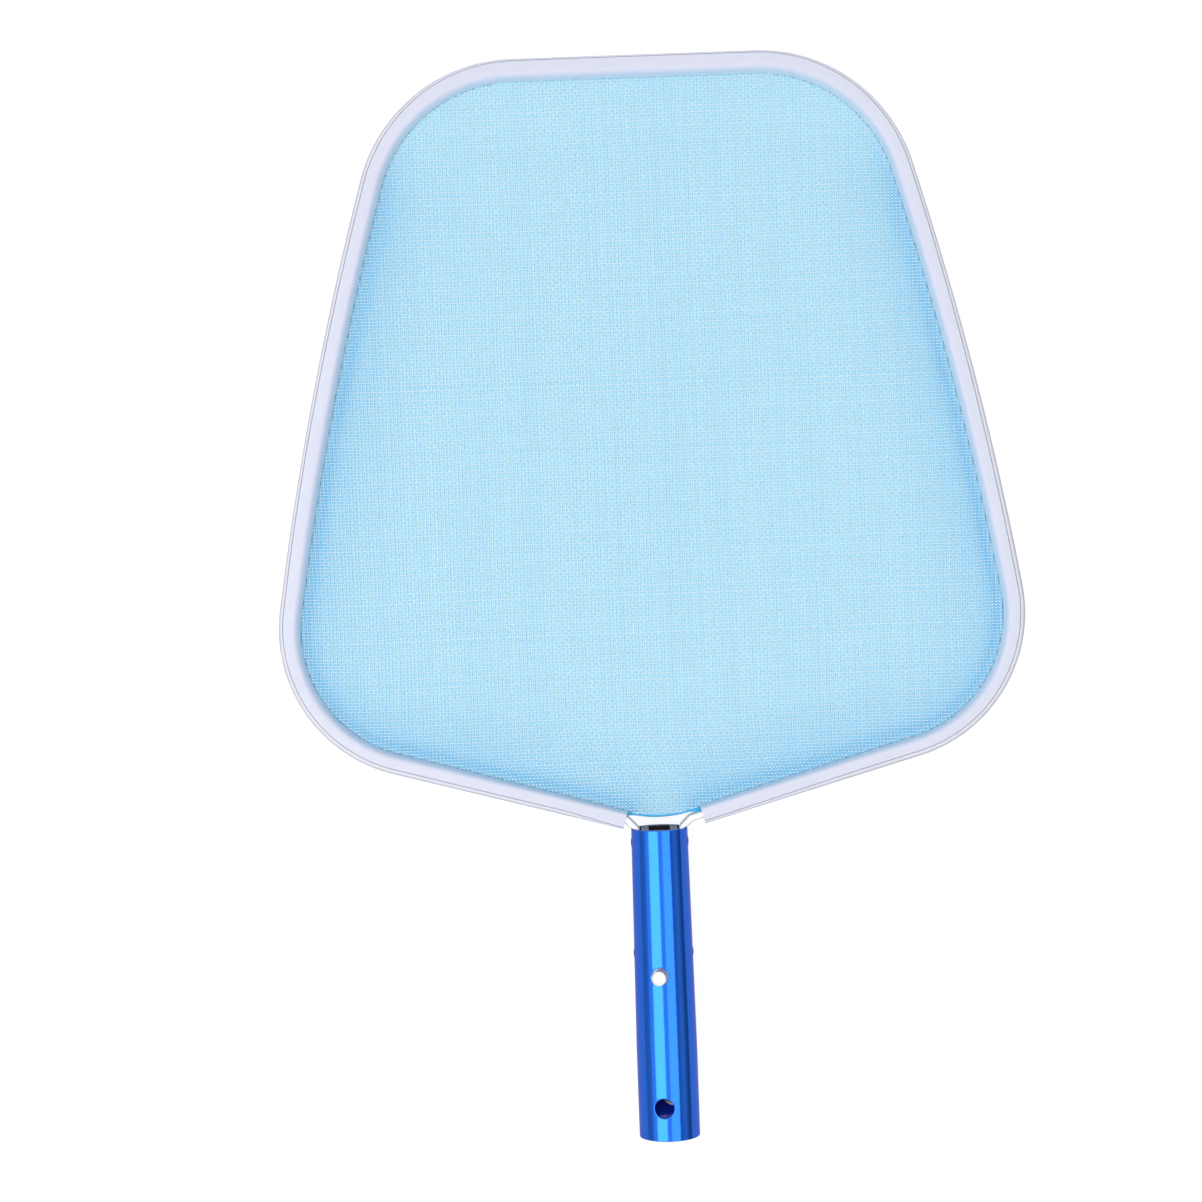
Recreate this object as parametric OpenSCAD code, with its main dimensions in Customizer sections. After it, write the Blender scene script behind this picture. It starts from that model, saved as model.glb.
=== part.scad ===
// Leaf skimmer net for pools and spas: a mesh net in a bent flat-bar frame with a plastic edge
// trim, held in a short handle tube that plugs into a telescopic pole and locks with two
// spring buttons.
// The origin is the centre of the tube's open end, +Y runs along the handle to the net, and
// +Z is the side of the net that faces up.

/* [Handle tube] */
// Length of the handle tube
tube_len = 145; // [120:1:220]
// Outer diameter of the straight end that plugs into the pole
spigot_od = 28.5; // [26:0.1:32]
// Length of the straight end
spigot_len = 42; // [36:1:60]
// Outer diameter at the net end, where the tube has been drawn in
neck_od = 26.4; // [24:0.1:30]
// Wall of the tube
tube_wall = 0.8; // [0.6:0.1:1.4]
// Distance from the open end to the upper pair of holes, where the buttons stand
lock_hole_y = 77.2; // [72:0.1:90]
// Diameter of the upper holes
lock_hole_d = 7.8; // [7.4:0.1:9]
// Distance from the open end to the lower pair of holes
end_hole_y = 15.5; // [10:0.1:18]
// Diameter of the lower holes
end_hole_d = 9.2; // [6:0.1:10]
// Turn of the line of holes about the tube's axis, in degrees
hole_turn = 10; // [0:1:20]

/* [Frame bar] */
// Width of the net over its trim
frame_w = 348; // [280:1:400]
// Length of the net from the tube's mouth to the outside of the trim
frame_len = 359; // [300:1:420]
// Thickness of the flat bar, seen from above
bar_t = 3.2; // [2.4:0.1:4]
// Depth of the flat bar
bar_depth = 8; // [6:0.5:10]
// Length of each leg inside the tube
leg_len = 62; // [55:1:64]
// Depth below the tube's mouth at which the legs start to bend out
bend_drop = 1.8; // [1:0.1:3]
// Radius of the bend at the neck, on the bar's centre line
neck_bend_r = 6.5; // [5:0.5:9]
// Slope of the two lower sides, in degrees
lower_slope = 15.5; // [8:0.5:25]
// Radius of the wide lower corners
lower_corner_r = 65; // [45:1:85]
// Lean of the sides at the lower corner, in degrees
side_lean_low = 9.2; // [5:0.1:11]
// Lean of the sides at the upper corner, in degrees
side_lean_high = 16.5; // [13:0.1:20]
// Radius of the upper corners
upper_corner_r = 70; // [50:1:90]

/* [Edge trim] */
// Clearance between the bar and the channel around it
channel_gap = 0.15; // [0.1:0.05:0.25]
// Thickness of the channel behind the bar
channel_back = 0.8; // [0.6:0.1:1.5]
// Thickness of the channel above and below the bar
channel_top = 1.45; // [1:0.05:2]
// Width of the rounded flank on the net side
flank_w = 3.65; // [3.2:0.05:4.5]
// Depth of the bevel along the channel's outer edges
channel_bevel = 0.6; // [0.2:0.1:0.7]
// Distance behind the bar's inner side at which the flank starts
flank_set = 0.25; // [0:0.05:0.4]
// Thickness of the flank's edge at the channel's mouth
lip_t = 0.3; // [0.2:0.05:0.6]
// Width of the bumper strip along the outside of the channel
bumper_w = 1.95; // [1.95:0.05:3]
// Depth of the bumper's rounded front
bumper_nose = 1.3; // [0.5:0.1:1.9]
// Height of the bumper strip
bumper_h = 10; // [8:0.2:10.4]
// Gap left by the glue line between channel and bumper
glue_line = 0.05; // [0.05:0.05:0.2]
// Start of the trim on the right, measured along the lower side
trim_start_right = 5.2; // [2:0.1:10]
// Start of the trim on the left, measured along the lower side
trim_start_left = 0.2; // [0.2:0.1:10]

/* [Net] */
// Pitch of the lattice that stands for the weave
net_pitch = 20.5; // [20.5:0.5:30]
// Width of a lattice strand
strand_w = 1.6; // [1:0.1:2.4]
// Thickness of the net
net_t = 0.6; // [0.4:0.1:0.6]
// Depth to which the middle of the net sags
net_sag = 7; // [2:0.5:7.5]
// Width of the hem that runs round the net's edge
hem_w = 1.7; // [1.2:0.1:2]
// Height of the hem
hem_h = 2; // [1.4:0.1:2.4]
// Clearance round the hem and at the net's edge
soft_gap = 0.3; // [0.2:0.05:0.3]

/* [Neck plug and rivets] */
// Length of the plug that keeps the two legs apart
plug_len = 25; // [18:1:40]
// Clearance between the plug and the legs
plug_gap = 0.6; // [0.3:0.1:1]
// Clearance of the legs and the plug in the tube's bore
seat_gap = 0.1; // [0.05:0.05:0.2]
// Width of the plug's slot
plug_slot_w = 9.8; // [6:0.2:11]
// Height of the plug's slot
plug_slot_h = 18.8; // [10:0.2:20]
// Depth of the upper pair of rivets below the tube's mouth
upper_rivet_depth = 6.5; // [5:0.1:12]
// Distance of the lower pair of rivets from the legs' ends
foot_rivet_set = 3.4; // [2.5:0.1:8]
// Diameter of a rivet's shank
rivet_d = 2.4; // [2.4:0.1:3.6]
// Diameter of a rivet's outer head
rivet_head_d = 4.6; // [4.5:0.1:6.4]
// Diameter of the flat on a rivet's outer head
rivet_flat_d = 3.2; // [2:0.1:4.4]
// Height of a rivet's outer head
rivet_head_h = 0.4; // [0.3:0.1:1.2]
// Diameter of a rivet's closed end
rivet_tail_d = 4; // [4:0.1:5.4]
// Height of a rivet's closed end
rivet_tail_h = 0.9; // [0.6:0.1:1.4]
// Radial clearance of a rivet in its holes
rivet_gap = 0.1; // [0.05:0.05:0.2]

/* [Spring clip] */
// Thickness of the spring strip
strip_t = 0.8; // [0.6:0.1:1]
// Width of the spring strip
strip_w = 9; // [6:0.5:10]
// Distance between the arms at the bend, on the strip's centre lines
bend_w = 16; // [14:0.5:17]
// Distance from the bend's ends to the button, along the tube
arm_reach = 45; // [40:1:48]
// Length of strip beside the button, on each side of its centre
pad_len = 6; // [5:0.5:7]
// Gap between an arm and the bore beside it
arm_gap = 0.3; // [0.2:0.1:0.6]
// Gap between an arm and the bend that it flexes on
hinge_gap = 0.3; // [0.2:0.05:0.4]
// Diameter of a button's free end
button_d = 6.9; // [6:0.1:7.1]
// Diameter of the shank below it, which stays in the tube's hole
shank_d = 6.4; // [5.8:0.1:6.5]
// Length of the button's free end up to its dome
button_len = 3.2; // [2:0.1:4]
// Height of the dome
dome_h = 1.2; // [0.6:0.1:1.6]
// Height of the free end's shoulder above the tube
shoulder_h = 0.3; // [0.1:0.1:0.6]
// Distance by which a button sits off the hole's centre, towards the open end
button_set = 0.25; // [0.2:0.05:0.3]
// Diameter of a button's tail, riveted through the arm
tail_d = 3; // [2:0.1:3.6]
// Diameter of the tail's closed end inside the arm
tail_end_d = 4.8; // [4:0.1:6]
// Height of the tail's closed end
tail_end_h = 0.8; // [0.5:0.1:1.2]

/* [Hidden] */
$fn = 64;
// Overlap of the pieces that one solid is joined from
lap = 0.1;
// Largest distance between a facet and the arc that it stands for, and largest turn per facet
facet_depth = 0.1;
facet_turn = 7;
// Turn per facet across the trim's section, and rings on a button's dome
section_turn = 22.5;
dome_rings = 4;

function tube_r(y) = y <= spigot_len ? spigot_od / 2
    : spigot_od / 2 + (neck_od - spigot_od) / 2 * (y - spigot_len) / (tube_len - spigot_len);
function bore_r(y) = tube_r(y) - tube_wall;

// Legs of the bar against the bore, and the plug between them
seat_r = bore_r(tube_len) - seat_gap;
leg_x = seat_r - bar_t / 2;
leg_foot = tube_len - leg_len;
plug_half_w = leg_x - bar_t / 2 - plug_gap;
upper_rivet_y = tube_len - upper_rivet_depth;
lower_rivet_y = leg_foot + foot_rivet_set;

// Places across the trim's section: positive is away from the net
cavity_v = bar_t / 2 + channel_gap;
cavity_z = bar_depth / 2 + channel_gap;
back_v = cavity_v + channel_back;
top_z = cavity_z + channel_top;
flank_v = -cavity_v - flank_set;
lip_v = flank_v - flank_w;
mouth_z = net_t / 2 + soft_gap;
lip_z = mouth_z + lip_t;
hem_out_v = -bar_t / 2 - soft_gap;
hem_in_v = hem_out_v - hem_w;
net_edge_v = hem_in_v - soft_gap;
pocket_z = hem_h / 2 + soft_gap;
bumper_v = back_v + glue_line;
edge_v = bumper_v + bumper_w;

// The rim's centre line on the right: neck bend, lower side, lower corner, bowed side, upper
// corner and half of the straight top. Angles are those of the outward normal. The lower side
// is as long as the net's width asks, and the bowed side as its length asks.
function toward(a) = [cos(a), sin(a)];
slope_normal = lower_slope - 90;
bend_centre = [leg_x + neck_bend_r, tube_len - bend_drop];
lower_start = bend_centre - neck_bend_r * toward(slope_normal);
lower_centre_x = frame_w / 2 - edge_v - lower_corner_r;
lower_run = (lower_centre_x + lower_corner_r * sin(lower_slope) - lower_start[0]) / cos(lower_slope);
lower_end = lower_start + lower_run * toward(lower_slope);
lower_centre = lower_end - lower_corner_r * toward(slope_normal);
top_y = tube_len + frame_len - edge_v;
side_rise = top_y - upper_corner_r * (1 - sin(side_lean_high))
    - lower_centre[1] - lower_corner_r * sin(side_lean_low);
side_r = side_rise / (sin(side_lean_high) - sin(side_lean_low));
side_centre = lower_centre + (lower_corner_r - side_r) * toward(side_lean_low);
upper_centre = side_centre + (side_r - upper_corner_r) * toward(side_lean_high);
// Across the neck the net's edge runs on one shallow arc that meets both lower sides
neck_arc_r = lower_start[0] / sin(lower_slope);
neck_arc_centre = lower_start - neck_arc_r * toward(slope_normal);

// Clip, in the frame turned to the holes
button_y = lock_hole_y - button_set;
pad_z = sqrt(pow(bore_r(button_y + pad_len), 2) - pow(strip_w / 2, 2)) - arm_gap;
hinge_y = button_y - arm_reach;
hinge_z = bend_w / 2;
knee_y = button_y - pad_len;
knee_z = pad_z - strip_t / 2;
arm_slope = atan((knee_z - hinge_z) / (knee_y - hinge_y));
bend_r = hinge_z / cos(arm_slope);
shoulder_z = tube_r(lock_hole_y) + shoulder_h;

module turned() {
    rotate([0, -hole_turn, 0]) children();
}

module along_tube(y) {
    translate([0, y, 0]) rotate([-90, 0, 0]) children();
}

// Stations along a path: a point and the angle of the outward normal there. A negative
// radius puts the arc's centre on the outer side.
function arc(centre, r, from, to) =
    let (step = min(facet_turn, 2 * acos(1 - facet_depth / abs(r))))
    let (steps = ceil(abs(to - from) / step))
    [for (i = [0 : steps]) let (a = from + (to - from) * i / steps) [centre + r * toward(a), a]];
function rest(stations) = [for (i = [1 : len(stations) - 1]) stations[i]];
function corners() = concat(
    arc(lower_centre, lower_corner_r, slope_normal, side_lean_low),
    rest(arc(side_centre, side_r, side_lean_low, side_lean_high)),
    rest(arc(upper_centre, upper_corner_r, side_lean_high, 90))
);
function mirrored(stations) = [
    for (i = [len(stations) - 1 : -1 : 0])
        [[-stations[i][0][0], stations[i][0][1]], 180 - stations[i][1]]
];

// Half of the trim's path, of the bar's path and of the closed path of the net's edge
function trim_half(start) =
    concat([[lower_start + start * toward(lower_slope), slope_normal]], corners());
function bar_half() = concat(
    [[[leg_x, leg_foot], 0]],
    arc(bend_centre, -neck_bend_r, 0, slope_normal),
    corners()
);
function edge_half() = concat(arc(neck_arc_centre, neck_arc_r, -90, slope_normal), corners());

trim_path = concat(trim_half(trim_start_right), mirrored(trim_half(trim_start_left)));
bar_path = concat(bar_half(), mirrored(bar_half()));
edge_path = concat(edge_half(), mirrored(rest(edge_half())));

function beside(stations, v) = [for (s = stations) s[0] + v * toward(s[1])];
function reversed(list) = [for (i = [len(list) - 1 : -1 : 0]) list[i]];

// Carries a section, given as [v, z] points that run anticlockwise, along a path
module swept(stations, section) {
    n = len(section);
    last = len(stations) - 1;
    points = [for (s = stations, q = section) concat(s[0] + q[0] * toward(s[1]), q[1])];
    function at(i, j) = i * n + j % n;
    polyhedron(points, concat(
        [[for (j = [n - 1 : -1 : 0]) at(0, j)]],
        [for (i = [0 : last - 1], j = [0 : n - 1]) [at(i, j), at(i, j + 1), at(i + 1, j + 1)]],
        [for (i = [0 : last - 1], j = [0 : n - 1]) [at(i, j), at(i + 1, j + 1), at(i + 1, j)]],
        [[for (j = [0 : n - 1]) at(last, j)]]
    ));
}

module cross_hole(y, d) {
    turned() translate([0, y, 0]) cylinder(d = d, h = 2 * spigot_od, center = true);
}

module rivet_holes(y) {
    translate([0, y, 0]) rotate([0, 90, 0])
        cylinder(d = rivet_d + 2 * rivet_gap, h = 2 * spigot_od, center = true);
}

module handle_tube() {
    color("royalblue") difference() {
        along_tube(0) rotate_extrude() polygon([
            [spigot_od / 2 - tube_wall, 0],
            [spigot_od / 2, 0],
            [spigot_od / 2, spigot_len],
            [neck_od / 2, tube_len],
            [neck_od / 2 - tube_wall, tube_len],
            [spigot_od / 2 - tube_wall, spigot_len]
        ]);
        cross_hole(lock_hole_y, lock_hole_d);
        cross_hole(end_hole_y, end_hole_d);
        rivet_holes(upper_rivet_y);
        rivet_holes(lower_rivet_y);
    }
}

// The legs' outer faces are pressed round where they seat in the tube
module frame_bar() {
    color("gainsboro") difference() {
        translate([0, 0, -bar_depth / 2]) linear_extrude(bar_depth)
            polygon(concat(beside(bar_path, bar_t / 2), reversed(beside(bar_path, -bar_t / 2))));
        along_tube(leg_foot - lap) difference() {
            cylinder(r = spigot_od, h = leg_len + lap + soft_gap);
            translate([0, 0, -lap]) cylinder(r = seat_r, h = leg_len + 3 * lap + soft_gap);
        }
        rivet_holes(upper_rivet_y);
        rivet_holes(lower_rivet_y);
    }
}

// Upper half of the channel's section, from its back over the flank to the cavity
function channel_half() = concat(
    [[back_v, top_z - channel_bevel], [back_v - channel_bevel, top_z]],
    [for (a = [0 : section_turn : 90]) [flank_v - flank_w * sin(a), lip_z + (top_z - lip_z) * cos(a)]],
    [
        [lip_v, mouth_z],
        [net_edge_v, mouth_z],
        [net_edge_v, pocket_z],
        [-cavity_v, pocket_z],
        [-cavity_v, cavity_z],
        [cavity_v, cavity_z]
    ]
);

module edge_channel() {
    upper = channel_half();
    color("lavender") swept(trim_path, concat(upper, [for (q = reversed(upper)) [q[0], -q[1]]]));
}

// A strip with a flat back, glued to the channel, and a rounded front
module bumper_strip() {
    front = edge_v - bumper_nose;
    color("whitesmoke") swept(trim_path, concat(
        [[bumper_v, -bumper_h / 2]],
        [for (a = [-90 : section_turn : 90]) [front + bumper_nose * cos(a), bumper_h / 2 * sin(a)]],
        [[bumper_v, bumper_h / 2]]
    ));
}

module net_hem() {
    color("steelblue") translate([0, 0, -hem_h / 2]) linear_extrude(hem_h) difference() {
        polygon(beside(edge_path, hem_out_v));
        polygon(beside(edge_path, hem_in_v));
    }
}

// Half the width of the sagging part of the net at a height, from its outline. The first gaps
// inside the rim stay level, so that the net leaves the channel's mouth straight.
sag_outline = [for (p = beside(edge_half(), lip_v - net_pitch)) [p[1], p[0]]];
sag_low = sag_outline[0][0];
sag_high = sag_outline[len(sag_outline) - 1][0];
function sag(x, y) =
    let (w = lookup(y, sag_outline), t = 2 * (y - sag_low) / (sag_high - sag_low) - 1)
    abs(x) >= w || abs(t) >= 1 ? 0 : -net_sag * (1 - pow(x / w, 2)) * (1 - t * t);

// Both edges of every strand, on an odd number of strands about the middle of a span
function strand_edges(low, high) =
    let (strands = 2 * ceil((high - low) / 2 / net_pitch) + 1, middle = (low + high) / 2)
    [for (i = [0 : strands - 1], side = [-1, 1])
        middle + (i - (strands - 1) / 2) * net_pitch + side * strand_w / 2];

// One closed surface with a square gap between each four strands
module lattice(xs, ys) {
    nx = len(xs);
    ny = len(ys);
    under = nx * ny;
    points = [for (k = [0.5, -0.5], y = ys, x = xs) [x, y, sag(x, y) + k * net_t]];
    function at(i, j) = j * nx + i;
    cells = [for (j = [0 : ny - 2], i = [0 : nx - 2]) if (i % 2 == 0 || j % 2 == 0) [i, j]];
    gaps = [for (j = [1 : 2 : ny - 3], i = [1 : 2 : nx - 3]) [i, j]];
    // Upper and lower face of a cell, as the corners a, b, c and d that run clockwise
    function both(a, b, c, d) = [
        [a, b, c],
        [a, c, d],
        [c + under, b + under, a + under],
        [d + under, c + under, a + under]
    ];
    // The wall below an upper edge from a to b, seen from outside with b on the left
    function wall(a, b) = [[a, b, b + under], [a, b + under, a + under]];
    polyhedron(points, concat(
        [for (c = cells, f = both(
            at(c[0], c[1]), at(c[0], c[1] + 1), at(c[0] + 1, c[1] + 1), at(c[0] + 1, c[1]))) f],
        [for (g = gaps, f = wall(at(g[0] + 1, g[1]), at(g[0], g[1]))) f],
        [for (g = gaps, f = wall(at(g[0], g[1]), at(g[0], g[1] + 1))) f],
        [for (g = gaps, f = wall(at(g[0], g[1] + 1), at(g[0] + 1, g[1] + 1))) f],
        [for (g = gaps, f = wall(at(g[0] + 1, g[1] + 1), at(g[0] + 1, g[1]))) f],
        [for (i = [0 : nx - 2], f = wall(at(i, 0), at(i + 1, 0))) f],
        [for (i = [0 : nx - 2], f = wall(at(i + 1, ny - 1), at(i, ny - 1))) f],
        [for (j = [0 : ny - 2], f = wall(at(0, j + 1), at(0, j))) f],
        [for (j = [0 : ny - 2], f = wall(at(nx - 1, j), at(nx - 1, j + 1))) f]
    ));
}

module net() {
    outline = beside(edge_path, net_edge_v);
    half_w = max([for (p = outline) p[0]]);
    ys = [for (p = outline) p[1]];
    color("lightskyblue") intersection() {
        lattice(strand_edges(-half_w, half_w), strand_edges(min(ys), max(ys)));
        translate([0, 0, -net_sag - net_t]) linear_extrude(net_sag + 2 * net_t) polygon(outline);
    }
}

module neck_plug() {
    color("slategray") difference() {
        intersection() {
            along_tube(tube_len - plug_len) cylinder(r = seat_r, h = plug_len);
            translate([0, tube_len - plug_len / 2, 0])
                cube([2 * plug_half_w, plug_len + 2 * lap, neck_od], center = true);
        }
        translate([0, tube_len - plug_len / 2, 0])
            cube([plug_slot_w, plug_len + 2 * lap, plug_slot_h], center = true);
        rivet_holes(upper_rivet_y);
    }
}

// A blind rivet through the tube's wall: its head outside, its closed end at tail_x
module rivet(y, tail_x) {
    head_x = tube_r(y - rivet_head_d / 2);
    translate([0, y, 0]) rotate([0, 90, 0]) {
        translate([0, 0, head_x])
            cylinder(d1 = rivet_head_d, d2 = rivet_flat_d, h = rivet_head_h);
        translate([0, 0, tail_x - lap])
            cylinder(d = rivet_d, h = head_x - tail_x + 2 * lap);
        translate([0, 0, tail_x - rivet_tail_h])
            cylinder(d = rivet_tail_d, h = rivet_tail_h);
    }
}

module rivets() {
    color("silver") for (side = [0, 1]) mirror([side, 0, 0]) {
        rivet(upper_rivet_y, plug_slot_w / 2);
        rivet(lower_rivet_y, leg_x - bar_t / 2);
    }
}

module clip_bend() {
    color("darkgray") turned()
        translate([0, hinge_y + bend_r * sin(arm_slope), 0])
            rotate([0, 90, 0]) rotate([0, 0, 180 + arm_slope])
                translate([0, 0, -strip_w / 2])
                    rotate_extrude(angle = 180 - 2 * arm_slope)
                        translate([bend_r - strip_t / 2, 0]) square([strip_t, strip_w]);
}

// One arm of the clip, on the +Z side: it slopes out from the bend to the knee and then lies
// along the bore
module clip_arm() {
    half = strip_t / 2;
    slant = [cos(arm_slope), sin(arm_slope)];
    square_off = [-sin(arm_slope), cos(arm_slope)];
    root = [hinge_y, hinge_z] + hinge_gap * slant;
    knee = [knee_y, knee_z];
    miter = half * tan(arm_slope / 2);
    tip_y = button_y + pad_len;
    turned() difference() {
        rotate([90, 0, 90]) translate([0, 0, -strip_w / 2]) linear_extrude(strip_w)
            polygon([
                root - half * square_off,
                knee + [miter, -half],
                [tip_y, knee_z - half],
                [tip_y, knee_z + half],
                knee + [-miter, half],
                root + half * square_off
            ]);
        translate([0, button_y, 0]) cylinder(d = tail_d + 2 * rivet_gap, h = 2 * spigot_od);
    }
}

// A snap button on the +Z side, turned in one piece: its tail's closed end inside the arm, the
// tail through the arm, the shank through the tube's hole, the free end and the dome
module button() {
    inside_z = pad_z - strip_t;
    crown_z = shoulder_z + button_len;
    dome_r = (pow(button_d / 2, 2) + dome_h * dome_h) / (2 * dome_h);
    dome_turn = asin(button_d / 2 / dome_r);
    turned() translate([0, button_y, 0]) rotate_extrude() polygon(concat(
        [
            [0, inside_z - tail_end_h],
            [tail_end_d / 2, inside_z - tail_end_h],
            [tail_end_d / 2, inside_z],
            [tail_d / 2, inside_z],
            [tail_d / 2, pad_z],
            [shank_d / 2, pad_z],
            [shank_d / 2, shoulder_z],
            [button_d / 2, shoulder_z]
        ],
        [for (i = [dome_rings : -1 : 1]) let (a = dome_turn * i / dome_rings)
            [dome_r * sin(a), crown_z + dome_h - dome_r + dome_r * cos(a)]],
        [[0, crown_z + dome_h]]
    ));
}

module clip_arm_front() {
    color("darkgray") clip_arm();
}

module clip_arm_rear() {
    color("darkgray") rotate([0, 180, 0]) clip_arm();
}

module button_front() {
    color("white") button();
}

module button_rear() {
    color("white") rotate([0, 180, 0]) button();
}

handle_tube();
frame_bar();
edge_channel();
bumper_strip();
net();
net_hem();
neck_plug();
rivets();
clip_bend();
clip_arm_front();
clip_arm_rear();
button_front();
button_rear();
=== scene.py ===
import bpy
import bmesh
import math
import random
from mathutils import Matrix, Vector, kdtree, noise


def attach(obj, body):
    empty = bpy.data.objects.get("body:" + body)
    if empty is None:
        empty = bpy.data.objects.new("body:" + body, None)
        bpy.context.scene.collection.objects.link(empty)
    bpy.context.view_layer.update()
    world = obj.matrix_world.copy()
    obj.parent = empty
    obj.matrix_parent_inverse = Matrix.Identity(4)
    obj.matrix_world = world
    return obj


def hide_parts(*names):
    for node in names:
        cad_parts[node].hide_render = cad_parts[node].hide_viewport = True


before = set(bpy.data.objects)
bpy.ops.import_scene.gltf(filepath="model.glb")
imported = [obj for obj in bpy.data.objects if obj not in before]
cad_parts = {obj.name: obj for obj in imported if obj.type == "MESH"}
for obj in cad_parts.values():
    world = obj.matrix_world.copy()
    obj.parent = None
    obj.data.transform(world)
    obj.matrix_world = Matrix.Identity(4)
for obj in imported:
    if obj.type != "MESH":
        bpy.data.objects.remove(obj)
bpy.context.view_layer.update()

mm = 0.001
print("frame loaded:", len(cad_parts), "nodes")


def linear(hexColour):
    channels = [int(hexColour[i:i + 2], 16) / 255 for i in (0, 2, 4)]
    return [c / 12.92 if c <= 0.04045 else ((c + 0.055) / 1.055) ** 2.4 for c in channels] + [1.0]


def feed(node, inputs):
    # A node stands for its first output. A node or socket is linked, anything else is set on the socket
    for key, value in inputs.items():
        if isinstance(value, bpy.types.Node):
            value = value.outputs[0]
        if isinstance(value, bpy.types.NodeSocket):
            node.id_data.links.new(value, node.inputs[key])
        else:
            node.inputs[key].default_value = value


def addNode(tree, kind, inputs=None, **settings):
    node = tree.nodes.new(kind)
    for key, value in settings.items():
        setattr(node, key, value)
    feed(node, inputs or {})
    return node


def emptyTree(owner):
    owner.use_nodes = True
    owner.node_tree.nodes.clear()
    return owner.node_tree


def fillRamp(node, stops):
    for place, colour in stops[1:-1]:
        node.color_ramp.elements.new(place)
    for element, (place, colour) in zip(node.color_ramp.elements, stops):
        element.position, element.color = place, colour


def show(name, data):
    obj = bpy.data.objects.new(name, data)
    bpy.context.scene.collection.objects.link(obj)
    return obj


def addObject(name, points, edges=(), faces=(), values=None):
    # Points are in mm, in the drawing's frame. Values are numbers or vectors, one for each point
    mesh = bpy.data.meshes.new(name)
    mesh.from_pydata([[c * mm for c in p] for p in points], edges, faces)
    for key, column in (values or {}).items():
        isVector = isinstance(column[0], tuple)
        kind, field = ("FLOAT_VECTOR", "vector") if isVector else ("FLOAT", "value")
        flat = [c for v in column for c in v] if isVector else column
        mesh.attributes.new(key, kind, "POINT").data.foreach_set(field, flat)
    return show(name, mesh)


def addPolyline(name, points, closed=False, values=None):
    count = len(points)
    edges = [(i, (i + 1) % count) for i in range(count if closed else count - 1)]
    return addObject(name, points, edges, values=values)


def newTree(name, inputs):
    tree = bpy.data.node_groups.new(name, "GeometryNodeTree")
    tree.is_modifier = True
    face = tree.interface
    face.new_socket("Geometry", in_out="INPUT", socket_type="NodeSocketGeometry")
    face.new_socket("Geometry", in_out="OUTPUT", socket_type="NodeSocketGeometry")
    for label, kind in inputs.items():
        face.new_socket(label, in_out="INPUT", socket_type="NodeSocket" + kind)
    return tree, tree.nodes.new("NodeGroupInput").outputs


def closeTree(tree, geometry, material):
    # Every tree ends in real geometry with its material set
    real = addNode(tree, "GeometryNodeRealizeInstances", {0: geometry})
    painted = addNode(tree, "GeometryNodeSetMaterial", {0: real, "Material": material})
    addNode(tree, "NodeGroupOutput", {0: painted})


def settle(obj, tree=None, values=None):
    # Turns the object's modifiers, and the tree where there is one, into its own plain mesh
    if tree is not None:
        modifier = obj.modifiers.new(tree.name, "NODES")
        modifier.node_group = tree
        for item in tree.interface.items_tree:
            if item.in_out == "INPUT" and item.name in values:
                modifier[item.identifier] = values[item.name]
    graph = bpy.context.evaluated_depsgraph_get()
    mesh = bpy.data.meshes.new_from_object(obj.evaluated_get(graph), depsgraph=graph)
    obj.modifiers.clear()
    obj.data = mesh


def faceOutward(obj):
    mesh = bmesh.new()
    mesh.from_mesh(obj.data)
    bmesh.ops.recalc_face_normals(mesh, faces=mesh.faces)
    mesh.to_mesh(obj.data)
    mesh.free()


def fit(piece, node, sharpFrom=180, body="root"):
    # Smooth, but for edges that turn by more than an angle in degrees
    piece.data.shade_smooth()
    if sharpFrom < 180:
        piece.data.set_sharp_from_angle(angle=math.radians(sharpFrom))
    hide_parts(node)
    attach(piece, body)


view = {
    "place": (-23.437, 296.458, 1211.993),   # mm
    "lens": 77.87, "sensor": 36,             # mm
    "roll": 2.05,                            # degrees, the tube leans to the right at its open end
    "pitch": 2.1,                            # degrees, the net is the nearer end
    "clip": (0.05, 50),                      # m
}
roll, pitch = math.radians(view["roll"]), math.radians(view["pitch"])
lengthwise = Vector((-math.sin(roll) * math.cos(pitch), math.cos(roll) * math.cos(pitch), math.sin(pitch)))
crosswise = Vector((math.cos(roll), math.sin(roll), 0))
crosswise = (crosswise - lengthwise * crosswise.dot(lengthwise)).normalized()
turn = Matrix((crosswise, lengthwise, crosswise.cross(lengthwise)))
camera = show("camera", bpy.data.cameras.new("camera"))
camera.data.lens, camera.data.sensor_width = view["lens"], view["sensor"]
camera.data.clip_start, camera.data.clip_end = view["clip"]
camera.matrix_world = Matrix.Translation(Vector(view["place"]) * mm) @ turn.to_4x4()
bpy.context.scene.camera = camera
bpy.context.scene.view_settings.view_transform = "Standard"

# The net lies on its rear button and on the far side of its rim, so the floor leans a little
floor = {
    "size": 8000,
    "nearTouch": (76.95, -18.42),   # y and z of the rear button's dome
    "farTouch": (499.0, -5.62),     # y and z of the rim's underside
    "paper": "cfd0d3",              # what the paper throws back on the object
    "burntOut": 0.86,               # its own white where the eye sees it
    "inGloss": 0.44,                # and in a gloss, which sees it below the burnt-out white
    "shadowed": "8a8a8c",           # the rest of that white, which the object's shadow takes away
    "dark": "5a5755",               # painted shadow: the paper's colour in a strip right below the tube, painted darker as if unlit
    "stripSides": (6.5, 13.5),      # where that strip gives way to open paper: from the tube's axis,
    "stripEnds": ((120, 140), (12, 2)),     # and along it at both ends
}
rise = (floor["farTouch"][1] - floor["nearTouch"][1]) / (floor["farTouch"][0] - floor["nearTouch"][0])


def floorHeight(y):
    return floor["nearTouch"][1] + rise * (y - floor["nearTouch"][0])


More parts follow.
